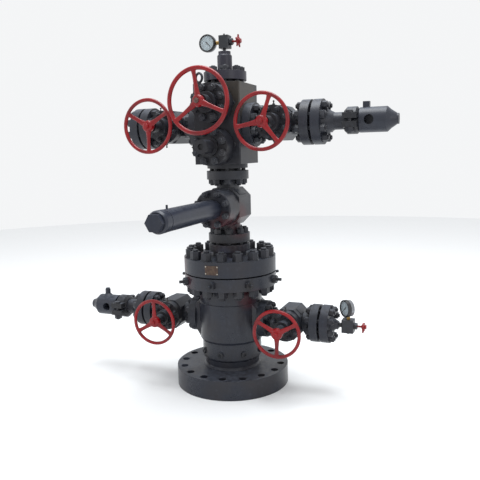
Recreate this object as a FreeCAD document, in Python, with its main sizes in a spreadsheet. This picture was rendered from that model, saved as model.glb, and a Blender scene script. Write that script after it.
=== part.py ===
"""Oil wellhead valve stack: tubing head, adapter, master valve, tree block, wings and outlets.

The frame is in millimetres. The origin is the centre of the base flange's underside and +Z runs up
the bore. The wings and outlets run along X, and every large valve stem points to the front, -Y.
"""
import FreeCAD, Part
import math
import os
import Sketcher
from FreeCAD import Placement, Rotation, Vector

doc = FreeCAD.newDocument("wellhead_valve_stack")
sheet = doc.addObject("Spreadsheet::Sheet", "Sizes")
sub_parts = []


class Size:
    """A number together with the sheet expression that it comes from."""

    def __init__(self, value, text=None):
        self.value = value
        self.text = text or repr(value)

    def combine(self, other, sign, value):
        other = as_size(other)
        return Size(value(self.value, other.value), f"({self.text} {sign} {other.text})")

    def __add__(self, other):
        return self.combine(other, "+", lambda a, b: a + b)

    def __sub__(self, other):
        return self.combine(other, "-", lambda a, b: a - b)

    def __mul__(self, other):
        return self.combine(other, "*", lambda a, b: a * b)

    def __truediv__(self, other):
        return self.combine(other, "/", lambda a, b: a / b)

    def __radd__(self, other):
        return as_size(other) + self

    def __rsub__(self, other):
        return as_size(other) - self

    def __rmul__(self, other):
        return as_size(other) * self

    def __neg__(self):
        return self * -1


def as_size(number):
    return number if isinstance(number, Size) else Size(number)


def sizes(title, **cells):
    """Write one titled group of driving sizes into the sheet and return them by name."""
    row = sizes.next_row
    sheet.set(f"A{row}", title)
    for name, value in cells.items():
        row += 1
        sheet.set(f"A{row}", name.replace("_", " "))
        sheet.set(f"B{row}", str(value))
        sheet.setAlias(f"B{row}", name)
    sizes.next_row = row + 2
    return {name: Size(value, f"Sizes.{name}") for name, value in cells.items()}


sizes.next_row = 1

# ------------------------------------------------------------------ driving sizes
spool = sizes(
    "Tubing head spool",
    base_flange_od=673, base_flange_thick=112.8, base_bolt_circle=590.5, base_hole_dia=44.5,
    base_hole_count=16, hub_dia=326, hub_top=159, lower_neck_dia=356, lower_neck_top=272,
    neck_chamfer=14, barrel_lip=6, barrel_dia=430, barrel_bottom=331, barrel_top=505,
    barrel_chamfer=26, barrel_waist_dia=382, boss_span=180, upper_neck_dia=372, head_flange_bottom=606, head_flange_thick=73,
    head_flange_od=544, head_gap=8, head_seal_dia=340, outlet_face=195, outlet_axis=402,
    spool_bore=230, port_ring_height=208, port_plug_dia=37, port_plug_length=10,
    port_socket=19, port_socket_depth=7, screw_count=8, gland_hex=42, gland_length=22,
    screw_dia=18, screw_length=26)
adapter = sizes(
    "Tubing head adapter",
    adapter_flange_thick=89, adapter_neck_dia=200, adapter_neck_length=31, adapter_top_thick=40,
    plate_width_angle=16.6, plate_height=52, plate_thick=2, plate_angle=270.3)
bore_flange = sizes(
    "Flanges of the 65 mm bore",
    flange_od=244, flange_thick=49, flange_neck_dia=134, seal_dia=150, seal_height=7,
    neck_taper=18)
outlet_flange = sizes(
    "Flanges of the 50 mm bore",
    small_flange_od=216, small_flange_thick=46, small_neck_dia=112, small_seal_dia=128)
master = sizes(
    "Master valve and its actuator",
    master_length=428, master_body_width=212, master_body_height=216, master_body_corner=50,
    master_body_front=92, master_body_back=90, master_bonnet_od=216, master_bonnet_thick=138,
    bonnet_chamfer=6, actuator_dia=110, actuator_end=778, end_groove_dia=102, end_groove=6,
    end_cap_dia=112, end_cap_length=58, end_cap_round=14, end_hex=80, end_hex_length=28,
    fitting_dia=11, fitting_length=18, fitting_back=40)
block = sizes(
    "Tree block",
    block_width=280, block_depth=280, block_height=447, block_corner=5, boss_dia=236,
    boss_height=25, wing_above_bottom=217, swab_above_bottom=333, lower_above_bottom=97,
    eye_ring_dia=50, eye_wire=14, eye_shank_dia=22, eye_shank_length=9, eye_inset_x=30,
    eye_inset_y=24)
stem_set = sizes(
    "Bonnets and stems of the hand valves",
    swab_bonnet_od=210, swab_bonnet_thick=100, swab_housing_dia=112, swab_housing_length=42,
    swab_gland_dia=74, swab_gland_length=52, lower_bonnet_od=206, lower_bonnet_thick=100,
    lower_housing_dia=104, lower_housing_length=16, lower_cap_dia=76, lower_cap_length=95,
    lower_socket=32, lower_socket_depth=12, stem_dia=30, stem_clearance=0.5, stem_depth=36,
    stem_end_gap=2)
wheel = sizes(
    "Handwheels",
    swab_wheel_od=355, swab_rim=23, swab_hub_front=381, wing_wheel_od=302, wing_rim=20,
    wing_hub_front=337, outlet_wheel_od=274, outlet_rim=19, outlet_hub_front=287,
    hub_length=38, hub_offset=-6, hub_outer_dia=62, hub_step=16, spoke_root=30, spoke_tip=17,
    nut_across=26, nut_height=12)
wing = sizes(
    "Wing valves",
    wing_length=380, wing_body_width=164, wing_body_height=186, wing_body_corner=42,
    wing_body_front=96, wing_body_back=92, wing_bonnet_od=188, wing_bonnet_thick=50,
    wing_housing_dia=98, wing_housing_length=70, wing_gland_dia=64, wing_gland_length=70,
    blind_thick=49)
outlet = sizes(
    "Outlet valves of the spool",
    outlet_length=366, outlet_body_width=160, outlet_body_height=176, outlet_body_corner=40,
    outlet_body_front=88, outlet_body_back=86, outlet_bonnet_od=172, outlet_bonnet_thick=44,
    outlet_housing_dia=88, outlet_housing_length=60, outlet_gland_dia=58,
    outlet_gland_length=55)
line_end = sizes(
    "Companion flanges, clamps and end bodies",
    companion_cone=60, companion_neck_dia=92, wing_neck_length=54, outlet_neck_length=42,
    clamp_width=82, clamp_dia=144, clamp_bevel=16, clamp_gap=16, clamp_ear_reach=30,
    clamp_ear_height=30, clamp_ear_inset=4, clamp_hub_dia=104, end_body_dia=132,
    end_body_length=140, cross_hole_dia=50, cross_hole_depth=62, wing_hole_at=52,
    outlet_hole_at=61, shoulder_dia=96, shoulder_length=20, nose_length=30, nose_dia=56,
    nose_stub=8, end_boss_width=34, end_boss_height=29, end_boss_at=31, plug_dia=34, plug_height=46,
    plug_round=10, plug_collar_dia=74, plug_collar_height=10, plug_at=87)
top = sizes(
    "Tree cap, needle valves and gauges",
    cap_face_height=13, cap_neck_dia=84, cap_neck_length=90, cap_reducer_dia=70,
    cap_shoulder=8, cap_reducer_length=24, nipple_dia=18, nipple_length=16, top_block=58,
    top_block_height=70, top_block_shift=5, pin_dia=9, pin_length=12, side_block=66,
    side_block_height=72, stub_dia=14, stub_length=11, needle_corner=4, gauge_dia=96,
    gauge_depth=38, gauge_lip=5, gauge_stem_across=18, gauge_stem_back=6, top_gauge_gap=25,
    riser_length=16, gland_nut=34, gland_nut_length=18, needle_stem_dia=12,
    needle_stem_length=24, star_dia=72, star_disc_dia=44, star_disc_thick=10, star_points=5,
    star_root=19, star_tip=8, star_hub_dia=25, star_hub_length=26, side_cone_length=40,
    side_neck_dia=44, side_neck_length=4, side_nipple_dia=26, side_nipple_length=20)

G = {}
for group in (spool, adapter, bore_flange, outlet_flange, master, block, stem_set, wheel, wing,
              outlet, line_end, top):
    G.update(group)
doc.recompute()

# ------------------------------------------------------------------ heights up the stack
head_top = G["head_flange_bottom"] + G["head_flange_thick"]
head_joint = head_top + G["head_gap"] / 2
adapter_bottom = head_joint + G["head_gap"] / 2
adapter_rim_top = adapter_bottom + G["adapter_flange_thick"]
adapter_top_bottom = adapter_rim_top + G["adapter_neck_length"]
adapter_top = adapter_top_bottom + G["adapter_top_thick"]
master_bottom = adapter_top + G["seal_height"]
master_axis = master_bottom + G["master_length"] / 2
master_top = master_bottom + G["master_length"]
block_boss_bottom = master_top + G["seal_height"]
block_bottom = block_boss_bottom + G["boss_height"]
block_top = block_bottom + G["block_height"]
wing_axis = block_bottom + G["wing_above_bottom"]
swab_axis = block_bottom + G["swab_above_bottom"]
lower_axis = block_bottom + G["lower_above_bottom"]
cap_bottom = block_top + G["seal_height"]
cap_flange_top = cap_bottom + G["cap_face_height"] + G["flange_thick"]
cap_neck_top = cap_flange_top + G["cap_neck_length"]
cap_top = cap_neck_top + G["cap_reducer_length"]
needle_bottom = cap_top + G["nipple_length"]
needle_axis = needle_bottom + G["top_block_height"] / 2
needle_top = needle_bottom + G["top_block_height"]

# ------------------------------------------------------------------ building helpers
UP = Rotation()
DOWN = Rotation(Vector(1, 0, 0), 180)
FRONT = Rotation(Vector(1, 0, 0), 90)
RIGHT = Rotation(Vector(0, 1, 0), 90)
LEFT = Rotation(Vector(0, 1, 0), -90)
SIDES = {"left": (LEFT, -1), "right": (RIGHT, 1)}


def bind(thing, path, size):
    """Tie one property to the sheet, or set it when the size is a plain number."""
    thing.setExpression(path, as_size(size).text)


def put(thing, at, facing=UP):
    """Turn a piece's own Z to a direction and tie its place to the sheet."""
    thing.Placement = Placement(Vector(*[as_size(part).value for part in at]), facing)
    for path, part in zip(("Placement.Base.x", "Placement.Base.y", "Placement.Base.z"), at):
        if isinstance(part, Size):
            bind(thing, path, part)
    return thing


def node(thing, name):
    """Give a finished piece the name of its file."""
    thing.Label = name
    sub_parts.append(thing)
    return thing


def plane_of(body, role):
    return next(item for item in body.Origin.OriginFeatures if item.Role == role)


def sketch_on(body, role, name):
    sketch = body.newObject("Sketcher::SketchObject", name)
    sketch.AttachmentSupport = (plane_of(body, role), [""])
    sketch.MapMode = "FlatFace"
    return sketch


def outline(sketch, corners):
    """Close a polygon whose corners, none of them negative, are tied to the sheet."""
    points = [(as_size(x), as_size(y)) for x, y in corners]
    count = len(points)
    for index, (x, y) in enumerate(points):
        far_x, far_y = points[(index + 1) % count]
        sketch.addGeometry(Part.LineSegment(Vector(x.value, y.value, 0),
                                            Vector(far_x.value, far_y.value, 0)))
    for index in range(count):
        following = (index + 1) % count
        sketch.addConstraint(Sketcher.Constraint("Coincident", index, 2, following, 1))
    for index, (x, y) in enumerate(points):
        for kind, size, axis in (("DistanceX", x, -2), ("DistanceY", y, -1)):
            if size.value == 0:
                sketch.addConstraint(Sketcher.Constraint("PointOnObject", index, 1, axis))
            else:
                number = sketch.addConstraint(
                    Sketcher.Constraint(kind, -1, 1, index, 1, size.value))
                sketch.setExpression(f"Constraints[{number}]", size.text)


def turned(name, steps, at, facing=UP):
    """Revolve a stepped half profile, given as (diameter, height) pairs, about the piece's Z."""
    body = doc.addObject("PartDesign::Body", name)
    sketch = sketch_on(body, "XZ_Plane", name + "_profile")
    corners = [(0, steps[0][1])]
    corners += [(as_size(diameter) / 2, height) for diameter, height in steps]
    corners.append((0, steps[-1][1]))
    outline(sketch, corners)
    revolution = body.newObject("PartDesign::Revolution", name + "_turned")
    revolution.Profile = sketch
    revolution.ReferenceAxis = (sketch, ["V_Axis"])
    revolution.Angle = 360
    sketch.Visibility = False
    return put(body, at, facing)


def cut_corner_block(name, width, depth, height, corner, at, facing=UP):
    """Pad a rectangle with cut corners. Its place is the middle of its lower face."""
    body = doc.addObject("PartDesign::Body", name)
    sketch = sketch_on(body, "XY_Plane", name + "_outline")
    outline(sketch, [
        (corner, 0), (width - corner, 0), (width, corner), (width, depth - corner),
        (width - corner, depth), (corner, depth), (0, depth - corner), (0, corner)])
    pad = body.newObject("PartDesign::Pad", name + "_pad")
    pad.Profile = sketch
    bind(pad, "Length", height)
    centred = doc.addObject("Part::Compound", name + "_centred")
    centred.Links = [put(body, (-width / 2, -depth / 2, 0))]
    return put(centred, at, facing)


def cylinder(name, diameter, length, at, facing=UP):
    rod = doc.addObject("Part::Cylinder", name)
    bind(rod, "Radius", as_size(diameter) / 2)
    bind(rod, "Height", length)
    return put(rod, at, facing)


def cuboid(name, width, depth, height, at):
    """A box placed by its lower left front corner."""
    solid = doc.addObject("Part::Box", name)
    bind(solid, "Length", width)
    bind(solid, "Width", depth)
    bind(solid, "Height", height)
    return put(solid, at)


def hexagon(name, across_flats, length, at, facing=UP):
    prism = doc.addObject("Part::Prism", name)
    prism.Polygon = 6
    bind(prism, "Circumradius", as_size(across_flats) / math.sqrt(3))
    bind(prism, "Height", length)
    return put(prism, at, facing)


def joined(name, pieces):
    fusion = doc.addObject("Part::MultiFuse", name)
    fusion.Shapes = pieces
    fusion.Refine = True
    return fusion


def cut_from(name, piece, tools):
    tool = tools[0] if len(tools) == 1 else joined(name + "_tools", tools)
    difference = doc.addObject("Part::Cut", name)
    difference.Base = piece
    difference.Tool = tool
    difference.Refine = True
    return difference


def around(name, piece, count, angle=0):
    """Repeat a piece about Z, as separate solids of one node."""
    copies = []
    for index in range(count):
        copy = doc.addObject("Part::Compound", f"{name}_{index}")
        copy.Links = [piece]
        copy.Placement = Placement(Vector(), Rotation(Vector(0, 0, 1), angle + index * 360 / count))
        copies.append(copy)
    ring = doc.addObject("Part::Compound", name)
    ring.Links = copies
    return ring


# ------------------------------------------------------------------ tubing head spool
def build_spool():
    """One forging: base flange, necks, barrel with two outlet bosses, and the head flange."""
    body = doc.addObject("PartDesign::Body", "spool_forging")
    profile = sketch_on(body, "XZ_Plane", "spool_profile")
    radius = {name: G[name] / 2 for name in (
        "base_flange_od", "hub_dia", "lower_neck_dia", "barrel_dia", "upper_neck_dia",
        "head_flange_od", "head_seal_dia", "spool_bore")}
    outline(profile, [
        (radius["spool_bore"], 0), (radius["base_flange_od"], 0),
        (radius["base_flange_od"], G["base_flange_thick"]),
        (radius["hub_dia"], G["base_flange_thick"]), (radius["hub_dia"], G["hub_top"]),
        (radius["lower_neck_dia"] - G["neck_chamfer"], G["hub_top"]),
        (radius["lower_neck_dia"], G["hub_top"] + G["neck_chamfer"]),
        (radius["lower_neck_dia"], G["lower_neck_top"]),
        (radius["lower_neck_dia"] + G["barrel_lip"], G["lower_neck_top"]),
        (radius["barrel_dia"], G["barrel_bottom"]),
        (radius["barrel_dia"], G["barrel_top"] - G["barrel_chamfer"]),
        (radius["barrel_dia"] - G["barrel_chamfer"], G["barrel_top"]),
        (radius["upper_neck_dia"], G["barrel_top"]),
        (radius["upper_neck_dia"], G["head_flange_bottom"]),
        (radius["head_flange_od"], G["head_flange_bottom"]),
        (radius["head_flange_od"], head_top), (radius["head_seal_dia"], head_top),
        (radius["head_seal_dia"], head_joint), (radius["spool_bore"], head_joint)])
    forging = body.newObject("PartDesign::Revolution", "spool_turned")
    forging.Profile = profile
    forging.ReferenceAxis = (profile, ["V_Axis"])
    forging.Angle = 360

    holes = sketch_on(body, "XY_Plane", "base_hole")
    reach = G["base_bolt_circle"] / 2
    half_step = math.pi / G["base_hole_count"].value
    holes.addGeometry(Part.Circle(
        Vector(reach.value * math.cos(half_step), reach.value * math.sin(half_step), 0),
        Vector(0, 0, 1), G["base_hole_dia"].value / 2))
    for kind, first, size in (
            ("DistanceX", True, reach * math.cos(half_step)),
            ("DistanceY", True, reach * math.sin(half_step)),
            ("Radius", False, G["base_hole_dia"] / 2)):
        where = (-1, 1, 0, 3) if first else (0,)
        number = holes.addConstraint(Sketcher.Constraint(kind, *where, size.value))
        holes.setExpression(f"Constraints[{number}]", size.text)
    pocket = body.newObject("PartDesign::Pocket", "base_hole_cut")
    pocket.Profile = holes
    pocket.Type = "Length"
    bind(pocket, "Length", G["base_flange_thick"])
    pocket.Reversed = True
    doc.recompute()
    ring = body.newObject("PartDesign::PolarPattern", "base_holes")
    ring.Originals = [pocket]
    ring.Axis = (profile, ["V_Axis"])
    ring.Angle = 360
    bind(ring, "Occurrences", G["base_hole_count"])
    body.Tip = ring

    deep = G["barrel_dia"]
    tall = G["barrel_top"] - G["lower_neck_top"]
    foot = (0, 0, G["lower_neck_top"])
    waste = cylinder("barrel_waste", deep * 1.1, tall, foot)
    core = cylinder("barrel_core", G["barrel_waist_dia"], tall, foot)
    bosses = cuboid("outlet_bosses", deep * 1.2, G["boss_span"], tall,
                    (deep * -0.6, G["boss_span"] / -2, G["lower_neck_top"]))
    flats = [cut_from("barrel_relief", waste, [core, bosses])]
    for side, (_, sign) in SIDES.items():
        corner = G["outlet_face"] if sign > 0 else -G["outlet_face"] - deep
        flats.append(cuboid(f"{side}_outlet_flat", deep, deep, tall,
                            (corner, -deep / 2, G["lower_neck_top"])))
    node(cut_from("spool", body, flats), "tubing_head_spool")


def build_spool_fittings():
    """Round socket plugs in the neck's test ports and the tie-down screws of the head flange."""
    neck = cylinder("neck_core", G["lower_neck_dia"], G["lower_neck_top"], (0, 0, 0))
    reach = G["lower_neck_dia"] / 2
    height = G["port_ring_height"]
    slug = cylinder("port_plug_slug", G["port_plug_dia"], G["port_plug_length"] * 2,
                    (reach - G["port_plug_length"], 0, height), RIGHT)
    socket = hexagon("port_plug_socket", G["port_socket"], G["port_socket_depth"] * 2,
                     (reach + G["port_plug_length"] - G["port_socket_depth"], 0, height), RIGHT)
    plug = cut_from("port_plug", slug, [socket])
    seated = cut_from("port_plug_seated", plug, [neck])
    node(around("port_plug_ring", seated, 8), "port_plugs")

    flange = cylinder("head_flange_core", G["head_flange_od"], G["head_flange_thick"],
                      (0, 0, G["head_flange_bottom"]))
    rim = G["head_flange_od"] / 2
    height = G["head_flange_bottom"] + G["head_flange_thick"] / 2
    screw = joined("tie_down_screw", [
        hexagon("tie_down_gland", G["gland_hex"], G["gland_length"] * 2,
                (rim - G["gland_length"], 0, height), RIGHT),
        cylinder("tie_down_stem", G["screw_dia"], G["screw_length"],
                 (rim + G["gland_length"], 0, height), RIGHT)])
    seated = cut_from("tie_down_seated", screw, [flange])
    node(around("tie_down_ring", seated, G["screw_count"].value), "tie_down_screws")


# ------------------------------------------------------------------ adapter and its plate
def build_adapter():
    """A heavy flange with a short neck and a studded top flange for the master valve."""
    seal = G["head_gap"] / 2
    rim_top = seal + G["adapter_flange_thick"]
    neck_top = rim_top + G["adapter_neck_length"]
    flange_top = neck_top + G["adapter_top_thick"]
    node(turned("adapter", [
        (G["head_seal_dia"], 0), (G["head_seal_dia"], seal), (G["head_flange_od"], seal),
        (G["head_flange_od"], rim_top), (G["adapter_neck_dia"], rim_top),
        (G["adapter_neck_dia"], neck_top), (G["flange_od"], neck_top),
        (G["flange_od"], flange_top), (G["seal_dia"], flange_top),
        (G["seal_dia"], flange_top + G["seal_height"])], (0, 0, head_joint)),
        "tubing_head_adapter")
    middle = adapter_bottom + G["adapter_flange_thick"] / 2 - G["plate_height"] / 2
    sector = doc.addObject("Part::Cylinder", "plate_sector")
    bind(sector, "Radius", G["head_flange_od"] / 2 + G["plate_thick"])
    bind(sector, "Height", G["plate_height"])
    bind(sector, "Angle", G["plate_width_angle"])
    start = G["plate_angle"].value - G["plate_width_angle"].value / 2
    put(sector, (0, 0, middle), Rotation(Vector(0, 0, 1), start))
    rim = cylinder("plate_rim", G["head_flange_od"], G["plate_height"], (0, 0, middle))
    node(cut_from("plate", sector, [rim]), "blank_plate")


# ------------------------------------------------------------------ flanged gate valves
def flanged_run(name, length, flange, at, facing, near_seal):
    """The straight run of a valve: near flange, necks and far flange with its raised face."""
    od, thick, neck, seal = flange
    taper = G["neck_taper"]
    lift = G["seal_height"]
    start = lift if near_seal else Size(0)
    steps = [(seal, 0), (seal, start)] if near_seal else []
    steps += [
        (od, start), (od, start + thick), (neck + taper * 2, start + thick),
        (neck, start + thick + taper), (neck, length - lift - thick - taper),
        (neck + taper * 2, length - lift - thick), (od, length - lift - thick),
        (od, length - lift), (seal, length - lift), (seal, length)]
    return turned(name, steps, at, facing)


def build_master_valve():
    """The lower master gate valve with a plain cylinder actuator on its front."""
    flange = (G["flange_od"], G["flange_thick"], G["flange_neck_dia"], G["seal_dia"])
    run = flanged_run("master_run", G["master_length"], flange, (0, 0, master_bottom), UP, True)
    depth = G["master_body_front"] + G["master_body_back"]
    middle = cut_corner_block(
        "master_middle", G["master_body_width"], G["master_body_height"], depth,
        G["master_body_corner"], (0, G["master_body_back"], master_axis), FRONT)
    node(joined("master_body", [run, middle]), "master_valve_body")

    face = G["master_body_front"]
    thick = G["master_bonnet_thick"]
    bevel = G["bonnet_chamfer"]
    node(turned("master_bonnet", [
        (G["master_bonnet_od"], 0), (G["master_bonnet_od"], thick - bevel),
        (G["master_bonnet_od"] - bevel * 2, thick)], (0, -face, master_axis), FRONT),
        "master_valve_bonnet")

    start = face + thick
    tube = cylinder("actuator_tube", G["actuator_dia"], G["actuator_end"] - start,
                    (0, -start, master_axis), FRONT)
    fitting = cylinder("actuator_fitting", G["fitting_dia"],
                       G["actuator_dia"] / 2 + G["fitting_length"],
                       (0, G["fitting_back"] - G["actuator_end"], master_axis))
    node(joined("actuator_barrel", [tube, fitting]), "actuator_cylinder")
    groove = G["end_groove"]
    cap_end = groove + G["end_cap_length"]
    cap = turned("actuator_cap", [
        (G["end_groove_dia"], 0), (G["end_groove_dia"], groove), (G["end_cap_dia"], groove),
        (G["end_cap_dia"], cap_end - G["end_cap_round"]),
        (G["end_cap_dia"] - G["end_cap_round"], cap_end)],
        (0, -G["actuator_end"], master_axis), FRONT)
    nut = hexagon("actuator_nut", G["end_hex"], G["end_hex_length"],
                  (0, -G["actuator_end"] - cap_end, master_axis), FRONT)
    node(joined("actuator_end_piece", [cap, nut]), "actuator_end_cap")


def bonnet(name, od, thick, housing, housing_length, gland, gland_length, at):
    """A round bonnet flange with a stepped stem housing, bored for the stem."""
    first = thick + housing_length
    length = first + gland_length
    body = turned(name + "_turned", [
        (od, 0), (od, thick), (housing, thick), (housing, first), (gland, first),
        (gland, length)], at, FRONT)
    x, y, z = at
    bore = cylinder(name + "_bore", G["stem_dia"] + G["stem_clearance"] * 2, G["stem_depth"],
                    (x, y - length + G["stem_depth"], z), FRONT)
    return cut_from(name, body, [bore])


def handwheel(name, od, rim, hub_front, bonnet_front, x, z, turn):
    """A cast three-spoke wheel with its stem. A positive offset puts the hub forward of the rim."""
    hub_back = hub_front - G["hub_length"]
    rim_place = hub_back + G["hub_length"] / 2 - G["hub_offset"]
    hoop = doc.addObject("Part::Torus", name + "_rim")
    bind(hoop, "Radius1", (od - rim) / 2)
    bind(hoop, "Radius2", rim / 2)
    seam = Rotation(Vector(0, 1, 0), turn - 30)
    put(hoop, (x, -rim_place, z), seam * FRONT)
    hub = turned(name + "_hub", [
        (G["hub_outer_dia"], 0), (G["hub_outer_dia"], G["hub_length"] * 0.7),
        (G["hub_outer_dia"] - G["hub_step"], G["hub_length"])], (x, -hub_back, z), FRONT)
    nut = hexagon(name + "_nut", G["nut_across"], G["nut_height"], (x, -hub_front, z), FRONT)
    depth = G["stem_depth"] - G["stem_end_gap"]
    stem = cylinder(name + "_stem", G["stem_dia"], hub_back - bonnet_front + depth,
                    (x, -bonnet_front + depth, z), FRONT)
    spokes = []
    reach = (od - rim) / 2
    lean = math.degrees(math.atan2(G["hub_offset"].value, reach.value))
    span = math.hypot(G["hub_offset"].value, reach.value)
    for index in range(3):
        spoke = doc.addObject("Part::Cone", f"{name}_spoke_{index}")
        bind(spoke, "Radius1", G["spoke_root"] / 2)
        bind(spoke, "Radius2", G["spoke_tip"] / 2)
        spoke.Height = span
        heading = Rotation(Vector(0, 1, 0), turn + index * 120) * Rotation(Vector(1, 0, 0), -lean)
        put(spoke, (x, -hub_back - G["hub_length"] / 2, z), heading)
        spokes.append(spoke)
    return joined(name, spokes + [stem, nut, hub, hoop])


def build_side_valves(kind, start, axis, flange, turns):
    """A mirrored pair of flanged gate valves with bonnets and wheels on their fronts."""
    length = G[f"{kind}_length"]
    for side, (facing, sign) in SIDES.items():
        label = f"{side}_{kind}"
        run = flanged_run(label + "_run", length, flange, (start * sign, 0, axis), facing, False)
        centre = (start + length / 2) * sign
        back = G[f"{kind}_body_back"]
        front = G[f"{kind}_body_front"]
        middle = cut_corner_block(
            label + "_middle", G[f"{kind}_body_width"], G[f"{kind}_body_height"], front + back,
            G[f"{kind}_body_corner"], (centre, back, axis), FRONT)
        node(joined(label + "_body", [run, middle]), f"{label}_valve_body")
        thick, housing, housing_length, gland, gland_length = (
            G[f"{kind}_{part}"] for part in (
                "bonnet_thick", "housing_dia", "housing_length", "gland_dia", "gland_length"))
        node(bonnet(label + "_bonnet_piece", G[f"{kind}_bonnet_od"], thick, housing,
                    housing_length, gland, gland_length, (centre, -front, axis)),
             f"{label}_valve_bonnet")
        node(handwheel(label + "_wheel", G[f"{kind}_wheel_od"], G[f"{kind}_rim"],
                       G[f"{kind}_hub_front"], front + thick + housing_length + gland_length,
                       centre, axis, turns[side]), f"{label}_handwheel")


# ------------------------------------------------------------------ tree block and its bonnets
def build_tree_block():
    """A square forged block with a boss below and raised seal faces above and below."""
    middle = cut_corner_block("block_middle", G["block_width"], G["block_depth"],
                              G["block_height"], G["block_corner"], (0, 0, block_bottom))
    lift = G["seal_height"]
    foot = turned("block_boss", [
        (G["seal_dia"], 0), (G["seal_dia"], lift), (G["boss_dia"], lift),
        (G["boss_dia"], lift + G["boss_height"])], (0, 0, master_top))
    head = cylinder("block_seal", G["seal_dia"], lift, (0, 0, block_top))
    node(joined("block_piece", [middle, foot, head]), "tree_block")

    face = G["block_depth"] / 2
    node(bonnet("swab_bonnet_piece", G["swab_bonnet_od"], G["swab_bonnet_thick"],
                G["swab_housing_dia"], G["swab_housing_length"], G["swab_gland_dia"],
                G["swab_gland_length"], (0, -face, swab_axis)), "swab_bonnet")
    front = face + G["swab_bonnet_thick"] + G["swab_housing_length"] + G["swab_gland_length"]
    node(handwheel("swab_wheel", G["swab_wheel_od"], G["swab_rim"], G["swab_hub_front"], front,
                   Size(0), swab_axis, -7), "swab_handwheel")

    thick = G["lower_bonnet_thick"]
    housing_end = thick + G["lower_housing_length"]
    cap_end = housing_end + G["lower_cap_length"]
    cover = turned("lower_bonnet", [
        (G["lower_bonnet_od"], 0), (G["lower_bonnet_od"], thick),
        (G["lower_housing_dia"], thick), (G["lower_housing_dia"], housing_end),
        (G["lower_cap_dia"], housing_end), (G["lower_cap_dia"], cap_end)],
        (0, -face, lower_axis), FRONT)
    socket = hexagon("lower_bonnet_socket", G["lower_socket"], G["lower_socket_depth"] * 2,
                     (0, G["lower_socket_depth"] - face - cap_end, lower_axis), FRONT)
    node(cut_from("lower_bonnet_piece", cover, [socket]), "lower_master_bonnet")

    place_x = G["eye_inset_x"] - G["block_width"] / 2
    place_y = G["eye_inset_y"] - face
    shank = cylinder("eye_shank", G["eye_shank_dia"], G["eye_shank_length"],
                     (place_x, place_y, block_top))
    ring = doc.addObject("Part::Torus", "eye_ring")
    bind(ring, "Radius1", G["eye_ring_dia"] / 2)
    bind(ring, "Radius2", G["eye_wire"] / 2)
    outwards = Rotation(Vector(0, 0, 1), -20) * FRONT
    put(ring, (place_x, place_y, block_top + G["eye_shank_length"] + G["eye_ring_dia"] / 2),
        outwards)
    node(joined("eye", [shank, ring]), "lifting_eye")


# ------------------------------------------------------------------ flow line ends
def companion(name, flange, cone, neck, neck_length, at, facing):
    """A welding-neck flange: raised face, disc, cone and straight neck."""
    od, thick, _, seal = flange
    lift = G["seal_height"]
    cone_end = lift + thick + cone
    return turned(name, [
        (seal, 0), (seal, lift), (od, lift), (od, lift + thick),
        (neck + cone * 1.1, lift + thick), (neck, cone_end), (neck, cone_end + neck_length)],
        at, facing)


def square_boss(label, x, axis):
    """A square boss on top of the right end body."""
    width = G["end_boss_width"]
    return cuboid(label + "_boss", width, width, G["end_body_dia"] / 2 + G["end_boss_height"],
                  (x - width / 2, -width / 2, axis))


def round_plug(label, x, axis):
    """A domed plug on a sloping collar on top of the left end body."""
    radius = G["end_body_dia"] / 2
    collar_top = radius + G["plug_collar_height"]
    head = radius + G["plug_height"]
    return turned(label + "_plug", [
        (G["plug_collar_dia"], 0), (G["plug_collar_dia"], radius - G["plug_collar_height"]),
        (G["plug_dia"], collar_top), (G["plug_dia"], head - G["plug_round"]),
        (G["plug_dia"] - G["plug_round"], head)], (x, 0, axis))


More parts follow.
